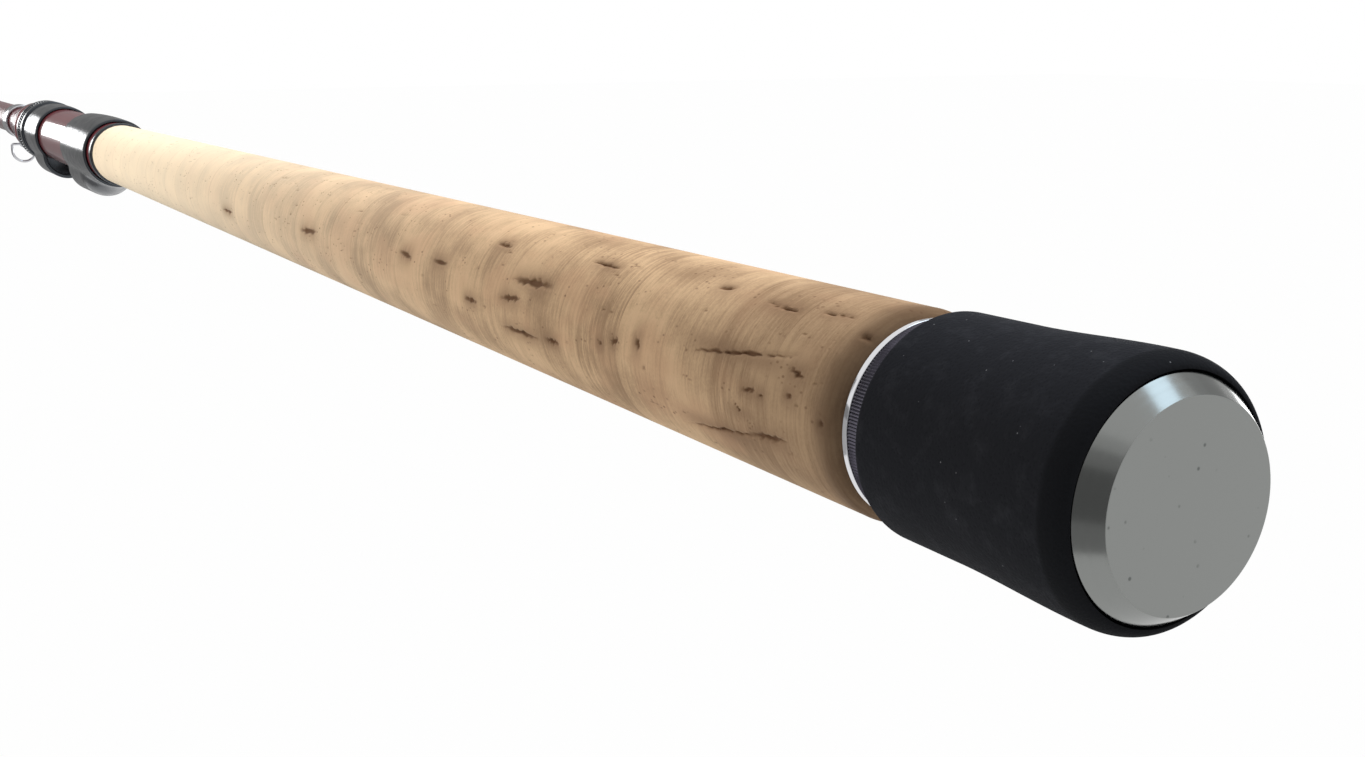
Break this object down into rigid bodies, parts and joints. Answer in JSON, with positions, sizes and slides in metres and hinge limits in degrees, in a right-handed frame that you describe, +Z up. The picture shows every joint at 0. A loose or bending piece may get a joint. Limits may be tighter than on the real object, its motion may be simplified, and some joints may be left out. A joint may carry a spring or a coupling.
{
  "type": "feeder rod",
  "caption": "Long take-apart feeder fishing rod with a cork and foam handle, a screw-down reel seat, line guides and a slim push-in quiver tip.",
  "frame": {"origin": "on the rod's axis at the middle of the reel deck, where the hand holds the rod", "axes": "+X along the rod towards the butt, out of the butt cap's face; +Z up, away from the reel and the guides, which hang below; Y across"},
  "size_m": [3.6034, 0.0306, 0.0579],
  "materials": {
    "satin_aluminium": "satin turned and anodised",
    "black_foam": "matt closed-cell EVA foam",
    "polished_steel": "polished",
    "cork": "sanded natural cork",
    "gunmetal": "gunmetal, semi-gloss",
    "burgundy_lacquer": "lacquered carbon fibre",
    "whipping_thread": "thread under clear epoxy",
    "guide_steel": "bright stainless wire",
    "guide_ceramic": "polished dark ceramic",
    "arbor_fibre": "matt wound fibre",
    "plug_nylon": "matt moulded nylon",
    "quiver_orange": "painted glass fibre"
  },
  "bodies": {
    "butt_section": {"butt_cap": "satin_aluminium", "butt_plug": "plug_nylon", "butt_grip": "black_foam", "knurled_ring": "gunmetal", "polished_ring": "polished_steel", "rear_cork_grip": "cork", "rear_winding_check": "gunmetal", "reel_seat_barrel": "burgundy_lacquer", "fixed_hood": "gunmetal", "seat_arbor_rear": "arbor_fibre", "seat_arbor_fore": "arbor_fibre", "fore_winding_check": "gunmetal", "keeper_band": "guide_steel", "butt_blank": "burgundy_lacquer", "butt_guide_ring": "guide_ceramic", "butt_guide_frame": "guide_steel", "butt_guide_frame_wrap": "whipping_thread", "butt_guide_brace": "guide_steel", "butt_guide_brace_wrap": "whipping_thread"},
    "hood": {"moving_hood": "gunmetal"},
    "nut": {"lock_nut": "gunmetal"},
    "keeper": {"keeper_loop": "guide_steel"},
    "mid_section": {"mid_blank": "burgundy_lacquer", "mid_socket_wrap": "whipping_thread", "mid_guide_1_ring": "guide_ceramic", "mid_guide_1_frame": "guide_steel", "mid_guide_1_frame_wrap": "whipping_thread", "mid_guide_1_brace": "guide_steel", "mid_guide_1_brace_wrap": "whipping_thread", "mid_guide_2_ring": "guide_ceramic", "mid_guide_2_frame": "guide_steel", "mid_guide_2_frame_wrap": "whipping_thread", "mid_guide_3_ring": "guide_ceramic", "mid_guide_3_frame": "guide_steel", "mid_guide_3_frame_wrap": "whipping_thread"},
    "tip_section": {"tip_blank": "burgundy_lacquer", "tip_socket_wrap": "whipping_thread", "quiver_socket_wrap": "whipping_thread", "tip_guide_1_ring": "guide_ceramic", "tip_guide_1_frame": "guide_steel", "tip_guide_1_frame_wrap": "whipping_thread", "tip_guide_2_ring": "guide_ceramic", "tip_guide_2_frame": "guide_steel", "tip_guide_2_frame_wrap": "whipping_thread", "tip_guide_3_ring": "guide_ceramic", "tip_guide_3_frame": "guide_steel", "tip_guide_3_frame_wrap": "whipping_thread"},
    "quiver": {"quiver_tip": "quiver_orange", "quiver_guide_1_ring": "guide_ceramic", "quiver_guide_1_frame": "guide_steel", "quiver_guide_2_ring": "guide_ceramic", "quiver_guide_2_frame": "guide_steel", "quiver_guide_3_ring": "guide_ceramic", "quiver_guide_3_frame": "guide_steel", "tip_top_tube": "guide_steel", "tip_top_ring": "guide_ceramic", "tip_top_frame": "guide_steel"}
  },
  "joints": [
    {"name": "hood_slide", "type": "slide", "parent": "butt_section", "child": "hood", "axis": [1, 0, 0], "range_m": [0, 0.016]},
    {"name": "nut_turn", "type": "hinge", "parent": "hood", "child": "nut", "pos_m": [-0.0653, 0, 0], "axis": [1, 0, 0], "range_deg": [0, 2880]},
    {"name": "keeper_swing", "type": "hinge", "parent": "butt_section", "child": "keeper", "pos_m": [-0.1441, 0, -0.01002], "axis": [0, 1, 0], "range_deg": [-70, 70]},
    {"name": "mid_pull", "type": "slide", "parent": "butt_section", "child": "mid_section", "axis": [-1, 0, 0], "range_m": [0, 0.09]},
    {"name": "tip_pull", "type": "slide", "parent": "mid_section", "child": "tip_section", "axis": [-1, 0, 0], "range_m": [0, 0.08]},
    {"name": "quiver_pull", "type": "slide", "parent": "tip_section", "child": "quiver", "axis": [-1, 0, 0], "range_m": [0, 0.06]}
  ],
  "couplings": [
    {"joint": "nut_turn", "follows": "hood_slide", "rad_per_m": 3141.6}
  ]
}
